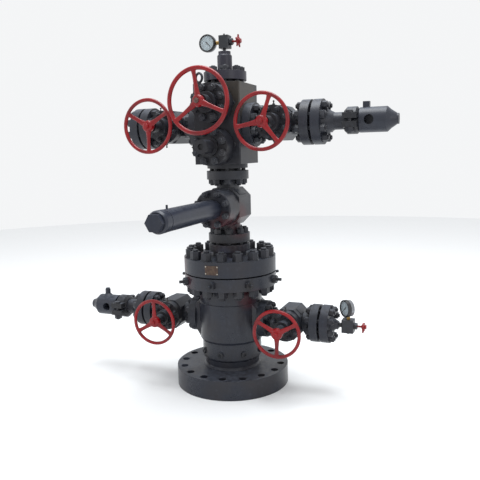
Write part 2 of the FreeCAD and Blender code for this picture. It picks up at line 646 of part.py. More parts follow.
def build_line_end(label, side, flange, start, axis, neck_length, hole_at, top_piece, top_at):
    """Companion flange, a two-piece bolted clamp and a bored end body with a nose."""
    facing, sign = SIDES[side]
    neck = G["companion_neck_dia"]
    cone = G["companion_cone"]
    length = G["seal_height"] + flange[1] + cone + neck_length
    node(companion(label + "_companion_piece", flange, cone, neck, neck_length,
                   (start * sign, 0, axis), facing), f"{label}_companion_flange")

    hub_start = start + length
    width = G["clamp_width"]
    bevel = G["clamp_bevel"]
    inset = G["clamp_ear_inset"]
    left_edge = hub_start * sign if sign > 0 else (hub_start + width) * sign
    shell = turned(label + "_clamp_shell", [
        (G["clamp_dia"] - bevel * 2, 0), (G["clamp_dia"], bevel),
        (G["clamp_dia"], width - bevel), (G["clamp_dia"] - bevel * 2, width)],
        (hub_start * sign, 0, axis), facing)
    ear_reach = G["clamp_dia"] / 2 + G["clamp_ear_reach"]
    ear_height = G["clamp_gap"] + G["clamp_ear_height"] * 2
    ears = cuboid(label + "_clamp_ears", width - inset * 2, ear_reach * 2, ear_height,
                  (left_edge + inset, -ear_reach, axis - ear_height / 2))
    bore = cylinder(label + "_clamp_bore", G["clamp_hub_dia"], width,
                    (hub_start * sign, 0, axis), facing)
    split = cuboid(label + "_clamp_split", width, ear_reach * 2, G["clamp_gap"],
                   (left_edge, -ear_reach, axis - G["clamp_gap"] / 2))
    whole = joined(label + "_clamp_whole", [shell, ears])
    node(cut_from(label + "_clamp_halves", whole, [bore, split]), f"{label}_clamp")

    body_start = hub_start + width
    body_end = width + G["end_body_length"]
    nose_start = body_end + G["shoulder_length"]
    nose_end = nose_start + G["nose_length"]
    barrel = turned(label + "_end_turned", [
        (G["clamp_hub_dia"], 0), (G["clamp_hub_dia"], width), (G["end_body_dia"], width),
        (G["end_body_dia"], body_end), (G["shoulder_dia"], nose_start),
        (G["nose_dia"], nose_end), (G["nose_dia"], nose_end + G["nose_stub"])],
        (hub_start * sign, 0, axis), facing)
    hole = cylinder(label + "_cross_hole", G["cross_hole_dia"], G["cross_hole_depth"],
                    ((body_start + hole_at) * sign,
                     G["cross_hole_depth"] - G["end_body_dia"] / 2, axis), FRONT)
    whole = joined(label + "_end_whole",
                   [barrel, top_piece(label, (body_start + top_at) * sign, axis)])
    node(cut_from(label + "_end_piece", whole, [hole]), f"{label}_end_body")


# ------------------------------------------------------------------ gauges and needle valves
def gauge(label, x, z, turn, stem):
    """A round gauge, turned about Z from facing the front, and its hexagonal stem."""
    depth = G["gauge_depth"]
    lip = G["gauge_lip"]
    behind = depth / 2 - G["gauge_stem_back"]
    heading = math.radians(turn)
    back = (x - behind * math.sin(heading), behind * math.cos(heading), z)
    case = turned(label + "_case_turned", [
        (G["gauge_dia"] - lip, 0), (G["gauge_dia"] - lip, depth - lip * 3),
        (G["gauge_dia"], depth - lip * 3), (G["gauge_dia"], depth),
        (G["gauge_dia"] - lip * 2, depth), (G["gauge_dia"] - lip * 2, depth - lip)],
        back, Rotation(Vector(0, 0, 1), turn) * FRONT)
    seated = doc.addObject("Part::Cut", label + "_stem_piece")
    seated.Base = stem
    seated.Tool = case
    node(case, f"{label}_gauge")
    node(seated, f"{label}_gauge_stem")


def needle_valve(label, face, z):
    """The gland nut and stem of a needle valve, and its small star wheel, along +X."""
    nut_end = face + G["gland_nut_length"]
    nut = hexagon(label + "_nut", G["gland_nut"], G["gland_nut_length"], (face, 0, z), RIGHT)
    bore = cylinder(label + "_nut_bore", G["needle_stem_dia"] + G["stem_clearance"] * 2,
                    G["gland_nut_length"], (face, 0, z), RIGHT)
    node(cut_from(label + "_gland_piece", nut, [bore]), f"{label}_needle_gland")

    wheel_start = nut_end + G["needle_stem_length"]
    stem_start = face + G["stem_end_gap"]
    stem = cylinder(label + "_stem", G["needle_stem_dia"], wheel_start - stem_start,
                    (stem_start, 0, z), RIGHT)
    hub = cylinder(label + "_wheel_hub", G["star_hub_dia"], G["star_hub_length"],
                   (wheel_start, 0, z), RIGHT)
    disc = cylinder(label + "_wheel_disc", G["star_disc_dia"], G["star_disc_thick"],
                    (wheel_start + G["star_disc_thick"] / 2, 0, z), RIGHT)
    pieces = [stem, hub, disc]
    points = int(G["star_points"].value)
    for index in range(points):
        point = doc.addObject("Part::Cone", f"{label}_point_{index}")
        bind(point, "Radius1", G["star_root"] / 2)
        bind(point, "Radius2", G["star_tip"] / 2)
        bind(point, "Height", G["star_dia"] / 2)
        heading = Rotation(Vector(1, 0, 0), index * 360 / points)
        pieces.append(put(point, (wheel_start + G["star_disc_thick"], 0, z), heading))
    node(joined(label + "_wheel_piece", pieces), f"{label}_needle_handwheel")


def build_tree_cap():
    """The cap flange with its welded neck, then the needle valve and gauge on top."""
    lift = G["cap_face_height"]
    disc_top = lift + G["flange_thick"]
    neck_top = disc_top + G["cap_neck_length"]
    reducer_top = neck_top + G["cap_reducer_length"]
    node(turned("cap", [
        (G["seal_dia"], 0), (G["seal_dia"], lift), (G["flange_od"], lift),
        (G["flange_od"], disc_top), (G["cap_neck_dia"], disc_top), (G["cap_neck_dia"], neck_top),
        (G["cap_reducer_dia"], neck_top + G["cap_shoulder"]),
        (G["cap_reducer_dia"], reducer_top)], (0, 0, cap_bottom)), "tree_cap")

    width = G["top_block"]
    shift = G["top_block_shift"]
    body = cut_corner_block("top_needle_body", width, width, G["top_block_height"],
                            G["needle_corner"], (shift, 0, needle_bottom))
    nipple = cylinder("top_nipple", G["nipple_dia"], G["nipple_length"], (0, 0, cap_top))
    pin = cylinder("top_pin", G["pin_dia"], G["pin_length"], (0, 0, needle_top))
    node(joined("top_needle_piece", [body, nipple, pin]), "top_needle_block")

    gap = G["top_gauge_gap"] + G["gauge_dia"] / 2
    gauge_x = shift - width / 2 - gap
    stem = hexagon("top_stem", G["gauge_stem_across"], gap, (gauge_x, 0, needle_axis), RIGHT)
    gauge("top", gauge_x, needle_axis, 0, stem)
    needle_valve("top", shift + width / 2, needle_axis)


def build_outlet_instrument(flange, start, axis):
    """The instrument flange of the right outlet with its needle valve and upright gauge."""
    cone = G["side_cone_length"]
    neck_length = G["side_neck_length"]
    node(companion("instrument_flange", flange, cone, G["side_neck_dia"], neck_length,
                   (start, 0, axis), RIGHT), "outlet_instrument_flange")
    nipple_start = start + G["seal_height"] + flange[1] + cone + neck_length
    width = G["side_block"]
    height = G["side_block_height"]
    block_x = nipple_start + G["side_nipple_length"] + width / 2
    body = cut_corner_block("side_needle_body", width, width, height, G["needle_corner"],
                            (block_x, 0, axis - height / 2))
    nipple = cylinder("side_nipple", G["side_nipple_dia"], G["side_nipple_length"],
                      (nipple_start, 0, axis), RIGHT)
    stub = cylinder("side_stub", G["stub_dia"], G["stub_length"],
                    (block_x, 0, axis - height / 2), DOWN)
    node(joined("side_needle_piece", [body, nipple, stub]), "outlet_needle_block")

    riser = G["riser_length"] + G["gauge_dia"] / 2
    stem = hexagon("side_stem", G["gauge_stem_across"], riser, (block_x, 0, axis + height / 2))
    gauge("outlet", block_x, axis + height / 2 + riser, -46, stem)
    needle_valve("outlet", block_x + width / 2, axis)


# ------------------------------------------------------------------ assembly
large = (G["flange_od"], G["flange_thick"], G["flange_neck_dia"], G["seal_dia"])
small = (G["small_flange_od"], G["small_flange_thick"], G["small_neck_dia"],
         G["small_seal_dia"])
wing_start = G["block_width"] / 2
wing_end = wing_start + G["wing_length"]
outlet_end = G["outlet_face"] + G["outlet_length"]

build_spool()
build_spool_fittings()
build_adapter()
build_master_valve()
build_tree_block()
build_side_valves("wing", wing_start, wing_axis, large, {"left": 60, "right": 20})
build_side_valves("outlet", G["outlet_face"], G["outlet_axis"], small, {"left": 0, "right": 60})
node(turned("blind", [
    (G["seal_dia"], 0), (G["seal_dia"], G["seal_height"]), (G["flange_od"], G["seal_height"]),
    (G["flange_od"], G["seal_height"] + G["blind_thick"])], (-wing_end, 0, wing_axis), LEFT),
    "left_wing_blind_flange")
build_line_end("right_wing", "right", large, wing_end, wing_axis, G["wing_neck_length"],
               G["wing_hole_at"], square_boss, G["end_boss_at"])
build_line_end("left_outlet", "left", small, outlet_end, G["outlet_axis"],
               G["outlet_neck_length"], G["outlet_hole_at"], round_plug, G["plug_at"])
build_outlet_instrument(small, outlet_end, G["outlet_axis"])
build_tree_cap()

# ------------------------------------------------------------------ checks and export
doc.recompute()
for thing in doc.Objects:
    if "Invalid" in thing.State or "Error" in thing.State:
        raise RuntimeError(f"{thing.Name} failed: {thing.State}")
for piece in sub_parts:
    if piece.Shape.isNull() or not piece.Shape.isValid():
        raise RuntimeError(f"{piece.Label} has no valid shape")
    if not piece.Shape.Solids:
        raise RuntimeError(f"{piece.Label} holds no solid")

os.makedirs("parts", exist_ok=True)
for piece in sub_parts:
    piece.Shape.exportStep(os.path.join("parts", piece.Label + ".step"))
print(len(sub_parts), "sub-parts written")
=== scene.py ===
import math
import random

import bmesh
import bpy
from mathutils import Matrix, Vector


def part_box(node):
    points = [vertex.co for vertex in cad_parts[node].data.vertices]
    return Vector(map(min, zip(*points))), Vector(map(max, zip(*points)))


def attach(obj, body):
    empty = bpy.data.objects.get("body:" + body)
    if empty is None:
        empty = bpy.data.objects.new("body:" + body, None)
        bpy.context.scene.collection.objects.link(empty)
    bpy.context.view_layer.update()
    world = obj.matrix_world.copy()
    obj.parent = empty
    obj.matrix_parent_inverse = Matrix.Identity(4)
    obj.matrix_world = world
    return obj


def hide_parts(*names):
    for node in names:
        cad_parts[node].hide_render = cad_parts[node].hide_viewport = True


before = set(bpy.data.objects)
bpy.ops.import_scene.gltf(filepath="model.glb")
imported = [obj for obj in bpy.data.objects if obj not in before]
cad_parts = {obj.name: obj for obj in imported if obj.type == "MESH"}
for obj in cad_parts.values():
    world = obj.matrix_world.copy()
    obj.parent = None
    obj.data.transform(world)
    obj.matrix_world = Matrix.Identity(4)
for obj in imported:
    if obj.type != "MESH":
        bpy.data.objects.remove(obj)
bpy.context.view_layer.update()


# ------------------------------------------------------------------ tubing head spool and adapter
# The well's base: a forging with a 16-hole flange, a bored neck and barrel, and the adapter flange
# on it. Both are forged alloy steel, sprayed slate grey with a satin alkyd enamel that is dusty on
# top, thin on the edges, and rusty red where water and thread paste ran down. The tops and some
# bluish patches on the flanges also carry painted sky light.
def tone(red, green, blue):
    """A display colour from 0 to 255 as the linear colour that a shader takes."""
    steps = [level / 255 for level in (red, green, blue)]
    linear = [s / 12.92 if s <= 0.04045 else ((s + 0.055) / 1.055) ** 2.4 for s in steps]
    return (*linear, 1.0)


class Wire:
    """A shader socket. Arithmetic on it adds Math nodes."""

    def __init__(self, coat, socket):
        self.coat, self.socket = coat, socket

    def math(self, operation, *values):
        return self.coat.add("ShaderNodeMath", {"operation": operation},
                             dict(enumerate(values)))

    def __add__(self, other):
        return self.math("ADD", self, other)

    def __radd__(self, other):
        return self.math("ADD", other, self)

    def __sub__(self, other):
        return self.math("SUBTRACT", self, other)

    def __rsub__(self, other):
        return self.math("SUBTRACT", other, self)

    def __mul__(self, other):
        return self.math("MULTIPLY", self, other)

    def __rmul__(self, other):
        return self.math("MULTIPLY", other, self)


class Coat:
    """A material that is built up one node at a time."""

    def __init__(self, name, constants):
        self.material = bpy.data.materials.new(name)
        self.material.use_nodes = True
        self.tree = self.material.node_tree
        self.shader = self.tree.nodes["Principled BSDF"]
        for socket, value in constants.items():
            self.shader.inputs[socket].default_value = value
        self.spot = self.add("ShaderNodeTexCoord", {}, {}, "Object")
        self.normal = self.add("ShaderNodeTexCoord", {}, {}, "Normal")

    def feed(self, socket, value):
        if isinstance(value, Wire):
            self.tree.links.new(value.socket, socket)
        else:
            socket.default_value = value

    def add(self, kind, settings, values, output=0):
        """Any node: its type, its settings, what its sockets get, and the socket wanted."""
        made = self.tree.nodes.new(kind)
        for name, setting in settings.items():
            setattr(made, name, setting)
        for name, value in values.items():
            self.feed(made.inputs[name], value)
        return Wire(self, made.outputs[output])

    def noise(self, scale, detail=3, stretch=(1, 1, 1)):
        place = self.add("ShaderNodeMapping", {}, {"Vector": self.spot, "Scale": stretch})
        return self.add("ShaderNodeTexNoise", {}, {
            "Vector": place, "Scale": scale, "Detail": detail, "Roughness": 0.55})

    def step(self, value, low, high):
        """0 below low, 1 above high, and smooth between them."""
        return self.add("ShaderNodeMapRange", {"interpolation_type": "SMOOTHSTEP"}, {
            "Value": value, "From Min": low, "From Max": high})

    def mix(self, factor, first, second):
        return self.add("ShaderNodeMix", {"data_type": "RGBA"},
                        {0: factor, 6: first, 7: second}, 2)

    def axis(self, vector, index):
        return self.add("ShaderNodeSeparateXYZ", {}, {"Vector": vector}, index)

    def near(self, centre, reach):
        """1 within about half of reach from a place on the object, falling to 0 at reach."""
        distance = self.add("ShaderNodeVectorMath", {"operation": "DISTANCE"},
                            {0: self.spot, 1: centre}, "Value")
        return 1 - self.step(distance, reach * 0.45, reach)

    def rounded(self, radius):
        """The normal with its edges rounded, and a mask that is 1 on the edges."""
        soft = self.add("ShaderNodeBevel", {"samples": 6}, {"Radius": radius})
        hard = self.add("ShaderNodeNewGeometry", {}, {}, "Normal")
        match = self.add("ShaderNodeVectorMath", {"operation": "DOT_PRODUCT"},
                         {0: soft, 1: hard}, "Value")
        return soft, self.step(1 - match, 0.02, 0.16)

    def finish(self, colour, roughness, height, depth, normal=None):
        """Feed the shader its colour, its roughness and a bump that is depth deep."""
        values = {"Height": height, "Distance": depth, "Strength": 0.5}
        if normal:
            values["Normal"] = normal
        bumped = self.add("ShaderNodeBump", {}, values)
        for name, value in (("Base Color", colour), ("Roughness", roughness),
                            ("Normal", bumped)):
            self.feed(self.shader.inputs[name], value)
        return self.material


def slate_coat(name, body=(38, 41, 50), warm=(48, 44, 44), grain=1.0, stains_and_lit_patches=(), edge=0.0022,
               gloss=0.0, dust_and_sheen=0.42):
    """Slate enamel: dusty tops with painted sky light, side runs, thin edges, stains and painted
    light.
    """
    coat = Coat(name, {"Specular IOR Level": 0.32})
    broad = coat.noise(5.5, 4)
    fine = coat.noise(46, 5)
    speck = coat.noise(210, 2)
    rounded, edges = coat.rounded(edge)
    upward = coat.axis(coat.normal, 2)
    colour = coat.mix(coat.step(broad, 0.38, 0.72) * 0.55, tone(*body), tone(*warm))
    colour = coat.mix(coat.step(fine, 0.5, 0.8) * 0.35, colour, tone(60, 64, 74))
    streak = coat.noise(30, 3, (1, 1, 0.12))
    runs = coat.step(streak, 0.58, 0.74) * (1 - coat.step(upward, 0.3, 0.8))
    colour = coat.mix(runs * 0.22, colour, tone(24, 23, 26))
    # Listed patches are stains, and some are painted light: bluish sky highlights and a brown
    # ground reflection.
    for centre, reach, shade, amount in stains_and_lit_patches:
        patch = coat.near(centre, reach) * coat.step(fine + broad * 0.5, 0.42, 0.75)
        colour = coat.mix(patch * amount, colour, tone(*shade))
    # Upward faces go pale bluish grey: dust, and a painted highlight of the sky on the tops.
    dust_and_sky_sheen = coat.step(upward, 0.55, 0.98) * coat.step(fine, 0.3, 0.62)
    colour = coat.mix(dust_and_sky_sheen * dust_and_sheen, colour, tone(98, 104, 116))
    worn = edges * coat.step(fine, 0.42, 0.6)
    colour = coat.mix(worn * 0.4, colour, tone(104, 103, 102))
    roughness = 0.30 - gloss + broad * 0.12 + dust_and_sky_sheen * 0.22 + speck * 0.06
    height = speck * 0.25 * grain + fine * 0.75 * grain
    return coat.finish(colour, roughness, height, 0.0009 * grain, rounded)


red_wash = (70, 20, 26)
forged = slate_coat("slate_enamel_forging", gloss=0.10, dust_and_sheen=0.30, stains_and_lit_patches=(
    ((-0.24, -0.12, 0.66), 0.20, red_wash, 0.55), ((0.17, -0.12, 0.56), 0.10, red_wash, 0.6),
    ((-0.20, -0.10, 0.20), 0.16, (59, 52, 45), 0.5), ((0.28, 0.16, 0.11), 0.2, (67, 64, 62), 0.5),
    # painted sky light on the left top of the base flange, not a stain
    ((-0.25, -0.08, 0.113), 0.16, (92, 98, 110), 0.5)))
head = slate_coat("slate_enamel_adapter", gloss=0.06, stains_and_lit_patches=(
    # painted bluish highlight on the adapter flange's front, between the nuts
    ((0.02, -0.17, 0.776), 0.10, (88, 100, 122), 0.6),
    ((-0.27, -0.06, 0.73), 0.19, red_wash, 0.8), ((0.05, -0.12, 0.84), 0.15, (63, 42, 42), 0.3)))


def dress(material, *names):
    """Give CAD pieces their material."""
    for name in names:
        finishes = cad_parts[name].data.materials
        finishes.clear()
        finishes.append(material)


dress(forged, "tubing_head_spool")
dress(head, "tubing_head_adapter")


# ------------------------------------------------------------------ studs of the big head joint
# Sixteen alloy studs hold the adapter to the head flange. Each has a tall heavy hex nut above and
# below, run up by hydraulic wrench, and was painted over together with the flanges.
def part_from(form, name, material, body, sharp=32):
    """Turn a finished bmesh into a piece that rides on a body."""
    bmesh.ops.recalc_face_normals(form, faces=form.faces)
    for face in form.faces:
        face.smooth = True
    for edge in form.edges:
        edge.smooth = edge.calc_face_angle(0) < math.radians(sharp)
    mesh = bpy.data.meshes.new(name)
    form.to_mesh(mesh)
    form.free()
    mesh.materials.append(material)
    piece = bpy.data.objects.new(name, mesh)
    bpy.context.scene.collection.objects.link(piece)
    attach(piece, body)
    return piece


def lathe(outline, steps):
    """Spin a (radius, height) outline about Z into its own bmesh."""
    form = bmesh.new()
    points = [form.verts.new((radius, 0, height)) for radius, height in outline]
    edges = [form.edges.new(pair) for pair in zip(points, points[1:])]
    bmesh.ops.spin(form, geom=points + edges, cent=(0, 0, 0), axis=(0, 0, 1),
                   angle=math.tau, steps=steps, use_merge=True)
    bmesh.ops.remove_doubles(form, verts=form.verts, dist=0.00001)
    return form


def hex_prism(across, height, chamfer):
    """A six-sided nut standing on Z with its upper corners broken."""
    form = bmesh.new()
    bmesh.ops.create_cone(form, cap_ends=True, segments=6, radius1=across / math.sqrt(3),
                          radius2=across / math.sqrt(3), depth=height)
    bmesh.ops.translate(form, verts=form.verts, vec=(0, 0, height / 2))
    top = [edge for edge in form.edges if all(v.co.z > height * 0.9 for v in edge.verts)]
    bmesh.ops.bevel(form, geom=top, offset=chamfer, offset_type="OFFSET", segments=2,
                    profile=0.5, affect="EDGES", material=-1)
    return form


def gather(forms_and_places):
    """One bmesh out of many, each copied to every one of its places."""
    whole = bmesh.new()
    for form, places in forms_and_places:
        mesh = bpy.data.meshes.new("copy")
        form.to_mesh(mesh)
        form.free()
        for place in places:
            mesh.transform(place)
            whole.from_mesh(mesh)
            mesh.transform(place.inverted())
        bpy.data.meshes.remove(mesh)
    return whole


def threaded_stud(diameter, buried, shown, pitch=0.004):
    """A stud along Z: plain where it is buried, threaded with a chamfered tip where it shows."""
    radius = diameter / 2
    outline = [(0, -buried), (radius, -buried), (radius, 0)]
    turns = int((shown - 0.003) / pitch)
    for turn in range(turns):
        outline += [(radius, (turn + 0.3) * pitch), (radius * 0.91, (turn + 0.8) * pitch)]
    outline += [(radius, shown - 0.003), (radius * 0.8, shown), (0, shown)]
    return lathe(outline, 16)


TOWARDS = {"+z": Matrix(), "-z": Matrix.Rotation(math.pi, 4, "X"),
           "-y": Matrix.Rotation(math.pi / 2, 4, "X"), "+x": Matrix.Rotation(math.pi / 2, 4, "Y"),
           "-x": Matrix.Rotation(-math.pi / 2, 4, "Y")}


def ring(centre, towards, bolt_circle, count):
    """Places that straddle a bolt circle's centre lines, each with its Z along the bolt."""
    base = Matrix.Translation(centre) @ TOWARDS[towards]
    return [base @ Matrix.Rotation(math.tau * (index + 0.5) / count, 4, "Z")
            @ Matrix.Translation((bolt_circle / 2, 0, 0)) for index in range(count)]


def bolting(name, material, rings, across, nut_height, stud, shown, buried=0.002):
    """Nuts and stud ends at every place in a list of rings."""
    places = [place for one in rings for place in one]
    washer = [(0, 0), (across * 0.56, 0), (across * 0.56, 0.003), (0, 0.003)]
    return part_from(gather([
        (hex_prism(across, nut_height, across * 0.045), places),
        (lathe(washer, 20), places),
        (threaded_stud(stud, buried, nut_height + shown), places)]),
        name, material, "stack")


painted_bolts = slate_coat("painted_bolting", (39, 41, 48), (45, 42, 42), 0.7, edge=0.0016)
spool_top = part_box("tubing_head_spool")[1].z
adapter_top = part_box("tubing_head_adapter")[1].z
head_circle = 0.470
adapter_neck, head_flange = 0.078, 0.077
head_stud = {"across": 0.054, "stud": 0.036}
bolting("studs_of_head_joint_above", painted_bolts,
        [ring((0, 0, adapter_top - adapter_neck), "+z", head_circle, 16)],
        nut_height=0.046, shown=0.011, **head_stud)
bolting("studs_of_head_joint_below", painted_bolts,
        [ring((0, 0, spool_top - head_flange), "-z", head_circle, 16)],
        nut_height=0.040, shown=0.014, **head_stud)


# ------------------------------------------------------------------ spool fittings
# Eight test-port plugs screw into the neck and eight tie-down screws with their hex glands into
# the head flange. They are turned steel bars, painted over, with rust at the threads.
fitting_paint = slate_coat("fitting_paint", (35, 37, 43), (47, 40, 37), 0.8, edge=0.0012)
dress(fitting_paint, "port_plugs", "tie_down_screws")


# ------------------------------------------------------------------ blank plate
# A stamped metal plate on the adapter's rim, held by four drive rivets. It has weathered to a
# dull brown and carries nothing.
plate_coat = Coat("weathered_plate", {"Metallic": 0.25})
plate_fine = plate_coat.noise(60, 4)
plate_colour = plate_coat.mix(plate_coat.step(plate_fine, 0.35, 0.7), tone(62, 44, 36),
                              tone(84, 68, 54))
plate_coat.finish(plate_colour, 0.45 + plate_fine * 0.25, plate_fine, 0.0004)
dress(plate_coat.material, "blank_plate")
plate_low, plate_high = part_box("blank_plate")
rim_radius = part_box("tubing_head_adapter")[1].x + 0.002
plate_heading, rivet_spread, corner_inset = 270.3, 7.4, 0.006
rivets = []
for side in (-1, 1):
    angle = math.radians(plate_heading + side * rivet_spread)
    for height in (plate_low.z + corner_inset, plate_high.z - corner_inset):
        rivets.append(Matrix.Translation((rim_radius * math.cos(angle),
                                          rim_radius * math.sin(angle), height))
                      @ Matrix.Rotation(angle, 4, "Z") @ Matrix.Rotation(math.pi / 2, 4, "Y"))
rivet_metal = Coat("rivet_metal", {"Metallic": 0.8})
rivet_metal.finish(tone(176, 170, 160), 0.35 + rivet_metal.noise(90) * 0.2,
                   rivet_metal.noise(200), 0.0002)
rivet = lathe([(0.0042, -0.001), (0.0040, 0.0008), (0.0027, 0.0022), (0, 0.0028)], 16)
part_from(gather([(rivet, rivets)]), "plate_rivets", rivet_metal.material, "stack",
          50)


# ------------------------------------------------------------------ master valve and actuator
# A cast gate valve body between two studded flanges, with a thick bonnet and a long plain
# cylinder actuator. The casting is sandier than the forgings, the cylinder is smooth tube.
sand_cast = slate_coat("slate_enamel_master_casting", (39, 41, 48), (47, 43, 43), 1.5, stains_and_lit_patches=(
    ((0.11, -0.07, 0.99), 0.13, red_wash, 0.6), ((0.10, 0.0, 1.17), 0.12, (78, 78, 80), 0.4)),
    edge=0.004)
master_cover = slate_coat("slate_enamel_master_bonnet", (35, 37, 45), (45, 40, 40), 1.2, stains_and_lit_patches=(
    ((0.06, -0.2, 0.98), 0.10, red_wash, 0.6),))
tube_coat = slate_coat("slate_enamel_cylinder", (37, 41, 53), (43, 44, 49), 0.1, edge=0.0015,
                       gloss=0.06, dust_and_sheen=0.15)
dress(sand_cast, "master_valve_body")
dress(master_cover, "master_valve_bonnet")
dress(tube_coat, "actuator_cylinder", "actuator_end_cap")


def centre_of(name):
    """The middle of a CAD piece's box, as x, y and z."""
    return [(low + high) / 2 for low, high in zip(*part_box(name))]


master_low, master_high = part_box("master_valve_body")
master_axis = centre_of("master_valve_body")[2]
master_flange = 0.056
bonnet_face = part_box("master_valve_bonnet")[0].y
bore_circle = 0.184
bore_stud = {"across": 0.040, "nut_height": 0.027, "stud": 0.0254, "shown": 0.009}
bolting("studs_of_master_lower_flange", painted_bolts,
        [ring((0, 0, master_low.z + master_flange), "+z", bore_circle, 8)],
        buried=0.062, **bore_stud)
bolting("studs_of_master_upper_flange", painted_bolts,
        [ring((0, 0, master_high.z - master_flange), "-z", bore_circle, 8)],
        buried=0.075, **bore_stud)
bolting("studs_of_master_bonnet", painted_bolts,
        [ring((0, bonnet_face, master_axis), "-y", 0.178, 8)],
        across=0.032, nut_height=0.026, stud=0.021, shown=0.012)


# ------------------------------------------------------------------ tree block
# A square forged block, bored both ways, with two screw-in bonnets on its front. Its upper right
# side has a painted brown reflection of the ground, and two socket plugs close the grease ports.
block_paint = slate_coat("slate_enamel_block", (34, 35, 41), (40, 36, 36), 0.8, stains_and_lit_patches=(
    # painted brown reflection of the ground on the block's upper right
    ((0.14, -0.05, 1.70), 0.20, (59, 53, 45), 0.75), ((0.14, 0.10, 1.45), 0.2, (46, 43, 41), 0.5),
    ((-0.12, -0.14, 1.36), 0.12, (39, 41, 46), 0.4)), edge=0.004)
cover_paint = slate_coat("slate_enamel_block_bonnets", (32, 33, 39), (39, 35, 36), 1.2)
dress(block_paint, "tree_block")
dress(cover_paint, "swab_bonnet", "lower_master_bonnet")
dress(fitting_paint, "lifting_eye")
block_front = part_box("tree_block")[0].y
bonnet_depth = 0.100
swab_axis = centre_of("swab_bonnet")[2]
lower_axis = centre_of("lower_master_bonnet")[2]
bolting("studs_of_block_bonnets", painted_bolts,
        [ring((0, block_front - bonnet_depth, height), "-y", 0.166, 8)
         for height in (swab_axis, lower_axis)],
        across=0.036, nut_height=0.022, stud=0.022, shown=0.006)
port_x, port_heights = 0.104, (1.645, 1.422)
port_places = [Matrix.Translation((port_x, block_front, height)) @ TOWARDS["-y"]
               for height in port_heights]
port = lathe([(0, -0.002), (0.011, -0.002), (0.011, 0.004), (0.0095, 0.0055), (0.0055, 0.0055),
              (0.0050, 0.0010), (0, 0.0010)], 20)
part_from(gather([(port, port_places)]), "block_port_plugs", fitting_paint, "stack")


# ------------------------------------------------------------------ wing valves
# A pair of cast gate valves bolted to the block with eight studs each. The left one ends in a
# blind flange, the right one in a welding-neck flange.
valve_paint = slate_coat("slate_enamel_wing_valves", (38, 40, 48), (42, 41, 44), 1.4, edge=0.004)
flange_paint = slate_coat("slate_enamel_line_flanges", (39, 42, 51), (46, 43, 44), 0.7)
dress(valve_paint, "left_wing_valve_body", "right_wing_valve_body")
dress(cover_paint, "left_wing_valve_bonnet", "right_wing_valve_bonnet")
dress(flange_paint, "left_wing_blind_flange", "right_wing_companion_flange")
wing_low, wing_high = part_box("right_wing_valve_body")
wing_x, _, wing_axis = centre_of("right_wing_valve_body")
wing_flange, wing_bonnet_face = 0.049, -0.146
ring_gap = 0.007


def side_rings(start, end, axis, depth, circle):
    """Bolt places of both side valves: inner flange, outer flange and the flange it meets."""
    places = []
    for sign, outwards, inwards in ((1, "+x", "-x"), (-1, "-x", "+x")):
        places.append(ring((sign * (start + depth), 0, axis), outwards, circle, 8))
        places.append(ring((sign * (end - ring_gap - depth), 0, axis), inwards, circle, 8))
        places.append(ring((sign * (end + ring_gap + depth), 0, axis), outwards, circle, 8))
    return places


bolting("studs_of_wing_flanges", painted_bolts,
        side_rings(wing_low.x, wing_high.x, wing_axis, wing_flange, bore_circle),
        buried=0.070, **bore_stud)
bolting("studs_of_wing_bonnets", painted_bolts,
        [ring((x, wing_bonnet_face, wing_axis), "-y", 0.148, 8) for x in (-wing_x, wing_x)],
        across=0.026, nut_height=0.021, stud=0.017, shown=0.009)


# ------------------------------------------------------------------ outlet valves
# The spool's two smaller gate valves, cast like the wing valves and bolted to its outlet bosses
# with eight studs each. Their paint is lighter, and their tops carry dust and painted sky light.
# The right one carries the gauge flange.
outlet_paint = slate_coat("slate_enamel_outlet_valves", (41, 44, 52), (47, 46, 47), 1.4,
                          edge=0.004)
dress(outlet_paint, "left_outlet_valve_body", "right_outlet_valve_body")
dress(cover_paint, "left_outlet_valve_bonnet", "right_outlet_valve_bonnet")
dress(flange_paint, "left_outlet_companion_flange", "outlet_instrument_flange")
outlet_low, outlet_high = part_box("right_outlet_valve_body")
outlet_x, _, outlet_axis = centre_of("right_outlet_valve_body")
outlet_flange, outlet_bonnet_face = 0.046, -0.132
bolting("studs_of_outlet_flanges", painted_bolts,
        side_rings(outlet_low.x, outlet_high.x, outlet_axis, outlet_flange, 0.165),
        across=0.036, nut_height=0.024, stud=0.0222, shown=0.008, buried=0.066)
bolting("studs_of_outlet_bonnets", painted_bolts,
        [ring((x, outlet_bonnet_face, outlet_axis), "-y", 0.136, 8)
         for x in (-outlet_x, outlet_x)],
        across=0.024, nut_height=0.019, stud=0.016, shown=0.008)


# ------------------------------------------------------------------ clamps and end bodies
# Each flow line end is a bored steel body held to the flange's hub by a two-half clamp, whose
# halves are drawn together by one long bolt at the front and one at the back.
line_paint = slate_coat("slate_enamel_end_bodies", (42, 46, 56), (45, 43, 47), 0.6)
clamp_paint = slate_coat("slate_enamel_clamps", (33, 35, 40), (40, 37, 37), 1.6)
dress(line_paint, "right_wing_end_body", "left_outlet_end_body")
dress(clamp_paint, "right_wing_clamp", "left_outlet_clamp")
clamp_ear, ear_inset = 0.038, 0.017
clamp_bolts = []
for name, axis in (("right_wing_clamp", wing_axis), ("left_outlet_clamp", outlet_axis)):
    low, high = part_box(name)
    for y in (low.y + ear_inset, high.y - ear_inset):
        clamp_bolts.append((centre_of(name)[0], y, axis))
under = [Matrix.Translation((x, y, z - clamp_ear)) @ TOWARDS["-z"] for x, y, z in clamp_bolts]
over = [Matrix.Translation((x, y, z + clamp_ear)) for x, y, z in clamp_bolts]
part_from(gather([(hex_prism(0.040, 0.024, 0.002), under),
                  (hex_prism(0.034, 0.012, 0.002), over),
                  (threaded_stud(0.022, 0.080, 0.030), under)]),
          "clamp_bolts", painted_bolts, "stack")


